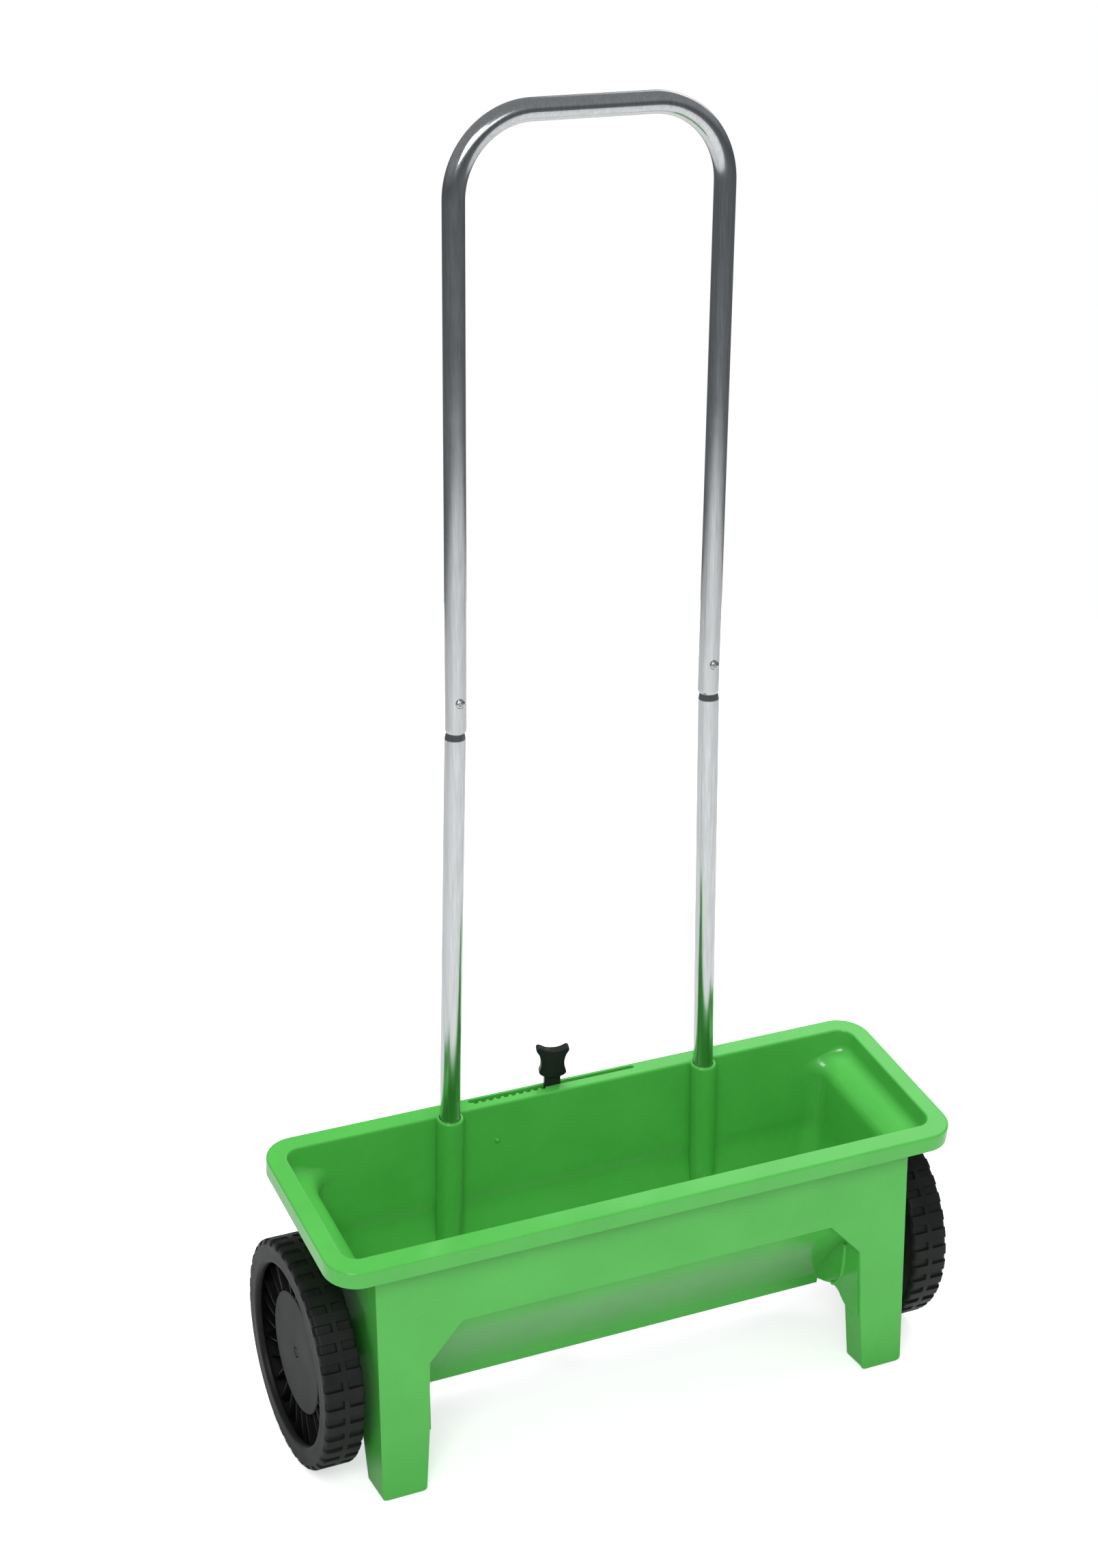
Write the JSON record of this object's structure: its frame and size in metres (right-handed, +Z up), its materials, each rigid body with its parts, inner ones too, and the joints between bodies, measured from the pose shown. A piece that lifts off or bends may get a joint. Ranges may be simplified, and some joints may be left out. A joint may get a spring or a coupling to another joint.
{
  "type": "garden spreader",
  "caption": "Push-along drop spreader for lawn feed or salt: plastic hopper on two wheels with a dose lever, agitator on the axle and a bolted tube handle.",
  "frame": {"origin": "on the ground at the middle of the footprint, with the spreader parked on its wheels and front legs", "axes": "+Z up, +X along the axle to the free wheel, -Y towards the front legs"},
  "size_m": [0.5984, 0.2177, 1.1281],
  "materials": {
    "green_plastic": "satin, lightly moulded",
    "bright_tube": "polished",
    "black_plastic": "satin",
    "wheel_plastic": "matte",
    "white_plastic": "satin",
    "zinc_plated": "zinc plated"
  },
  "bodies": {
    "chassis": {"hopper": "green_plastic", "handle_upper": "bright_tube", "lower_tube_left": "bright_tube", "lower_tube_right": "bright_tube", "outlet_cover": "black_plastic", "axle_bush_left": "white_plastic", "axle_bush_right": "white_plastic", "joint_screw_left": "zinc_plated", "joint_screw_right": "zinc_plated", "joint_nut_left": "zinc_plated", "joint_nut_right": "zinc_plated", "socket_screw_left": "zinc_plated", "socket_screw_right": "zinc_plated", "pivot_screw": "zinc_plated", "pivot_washer": "zinc_plated", "cover_screw_1": "zinc_plated", "cover_screw_2": "zinc_plated", "cover_screw_3": "zinc_plated", "cover_screw_4": "zinc_plated"},
    "drive_axle": {"axle": "zinc_plated", "wheel_left": "wheel_plastic", "hub_cap_left": "wheel_plastic", "push_nut_left": "zinc_plated", "push_nut_right": "zinc_plated", "wheel_washer_left": "zinc_plated", "wheel_washer_right": "zinc_plated", "drive_pin": "zinc_plated", "agitator": "white_plastic", "agitator_pin": "zinc_plated"},
    "free_wheel": {"wheel_right": "wheel_plastic", "hub_cap_right": "wheel_plastic"},
    "lever": {"metering_lever": "black_plastic", "lever_knob": "black_plastic"},
    "slide": {"metering_slide": "black_plastic"}
  },
  "joints": [
    {"name": "drive_wheel_spin", "type": "hinge", "parent": "chassis", "child": "drive_axle", "pos_m": [0, 0.0093, 0.0995], "axis": [1, 0, 0], "continuous": true},
    {"name": "free_wheel_spin", "type": "hinge", "parent": "chassis", "child": "free_wheel", "pos_m": [0.27, 0.0093, 0.0995], "axis": [1, 0, 0], "continuous": true},
    {"name": "lever_swing", "type": "hinge", "parent": "chassis", "child": "lever", "pos_m": [-0.01975, 0.07859, 0.09871], "axis": [0, 0.999, 0.0454], "range_deg": [-16, 16]},
    {"name": "slide_travel", "type": "slide", "parent": "chassis", "child": "slide", "axis": [1, 0, 0], "range_m": [-0.0059, 0.0059]}
  ],
  "couplings": [
    {"joint": "slide_travel", "follows": "lever_swing", "m_per_rad": -0.0208}
  ]
}
